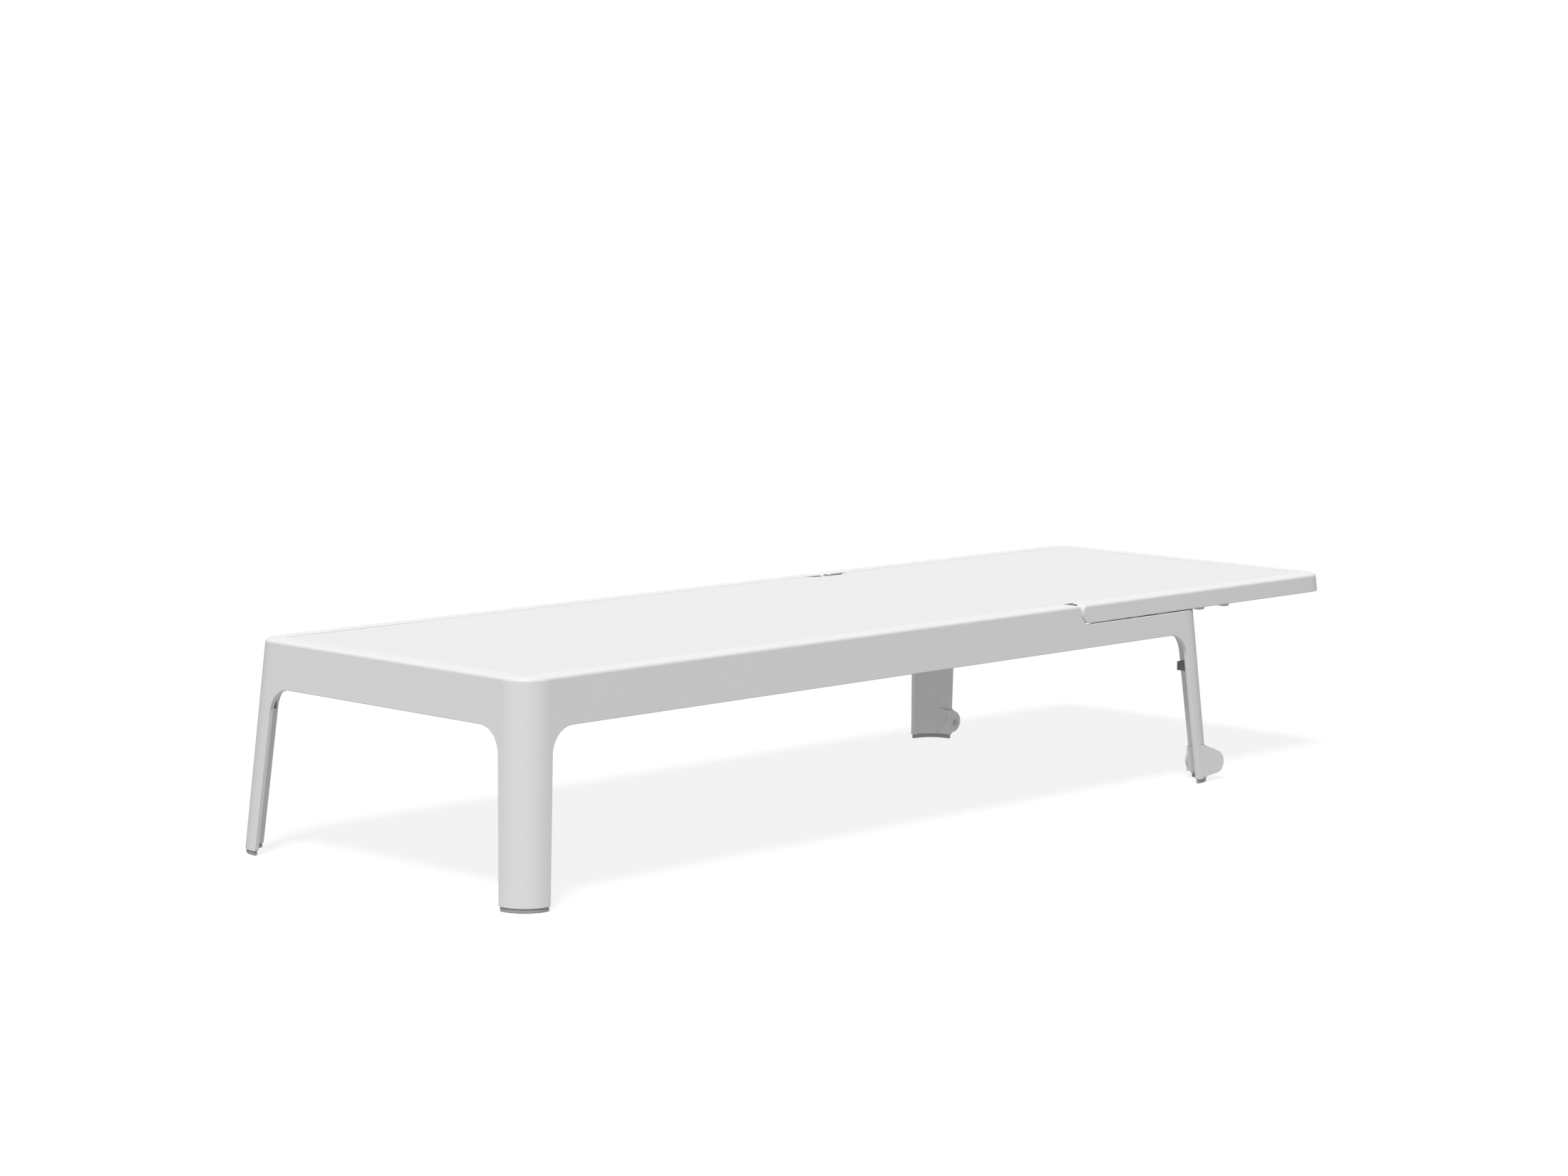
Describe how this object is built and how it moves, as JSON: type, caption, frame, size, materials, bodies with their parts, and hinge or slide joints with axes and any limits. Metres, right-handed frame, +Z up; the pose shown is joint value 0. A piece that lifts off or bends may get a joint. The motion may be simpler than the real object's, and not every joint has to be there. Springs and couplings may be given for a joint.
{
  "type": "reclining sun lounger",
  "caption": "Low moulded sun lounger with a stretched mesh top, a reclining backrest on a swinging prop, splayed legs with soft pads and small rollers at the head end.",
  "frame": {"origin": "middle of the lounger's outline, on the floor", "axes": "+X towards the head end, +Y across to the side whose parts are named left, +Z up"},
  "size_m": [2.0224, 0.69, 0.345],
  "materials": {
    "white_plastic": "fine satin moulding",
    "white_nylon": "satin",
    "grey_rubber": "matt",
    "roller_plastic": "satin",
    "mesh": "coated polyester mesh, fine weave",
    "mesh_rod": "smooth",
    "brace_tube": "white powder coat",
    "steel": "stainless",
    "dark_steel": "black zinc",
    "prop_steel": "light grey powder coat",
    "bush_nylon": "matt"
  },
  "bodies": {
    "leg_frame": {"base_frame": "white_plastic", "brace_sockets": "white_nylon", "pad_foot_left": "grey_rubber", "pad_foot_right": "grey_rubber", "pad_head_left": "grey_rubber", "pad_head_right": "grey_rubber", "bumper_foot_left": "grey_rubber", "bumper_foot_right": "grey_rubber", "bumper_head_left": "grey_rubber", "bumper_head_right": "grey_rubber", "rest_buffers": "grey_rubber", "seat_mesh": "mesh", "seat_rod_left": "mesh_rod", "seat_rod_right": "mesh_rod", "seat_rod_foot": "mesh_rod", "seat_brace_foot": "brace_tube", "seat_brace_middle": "brace_tube", "seat_brace_rear": "brace_tube", "ledge_brace": "brace_tube", "bumper_screws": "dark_steel", "hinge_pins": "steel", "bracket_screws": "steel", "prop_pins": "steel", "roller_axles": "steel", "prop_bracket_left": "prop_steel", "prop_bracket_right": "prop_steel"},
    "backrest": {"backrest_frame": "white_plastic", "backrest_mesh": "mesh", "back_rod_left": "mesh_rod", "back_rod_right": "mesh_rod", "back_rod_head": "mesh_rod", "hinge_bushes": "bush_nylon", "rack_left": "white_nylon", "rack_right": "white_nylon", "rack_screws": "steel", "backrest_brace_hinge": "brace_tube", "backrest_brace_head": "brace_tube"},
    "prop": {"prop_frame": "prop_steel", "prop_sleeves": "bush_nylon", "prop_bushes": "bush_nylon"},
    "roller_left": {"roller_hub_left": "roller_plastic", "roller_tyre_left": "grey_rubber"},
    "roller_right": {"roller_hub_right": "roller_plastic", "roller_tyre_right": "grey_rubber"}
  },
  "joints": [
    {"name": "backrest_tilt", "type": "hinge", "parent": "leg_frame", "child": "backrest", "pos_m": [0.31678, 0, 0.32875], "axis": [0, -1, 0], "range_deg": [0, 62]},
    {"name": "prop_swing", "type": "hinge", "parent": "leg_frame", "child": "prop", "pos_m": [0.54678, 0, 0.32875], "axis": [0, -1, 0], "range_deg": [0, 124]},
    {"name": "roller_left_spin", "type": "hinge", "parent": "leg_frame", "child": "roller_left", "pos_m": [0.66378, 0, 0.0295], "axis": [0, 1, 0], "continuous": true},
    {"name": "roller_right_spin", "type": "hinge", "parent": "leg_frame", "child": "roller_right", "pos_m": [0.66378, 0, 0.0295], "axis": [0, 1, 0], "continuous": true}
  ],
  "couplings": [
    {"joint": "prop_swing", "follows": "backrest_tilt", "ratio": 2}
  ]
}
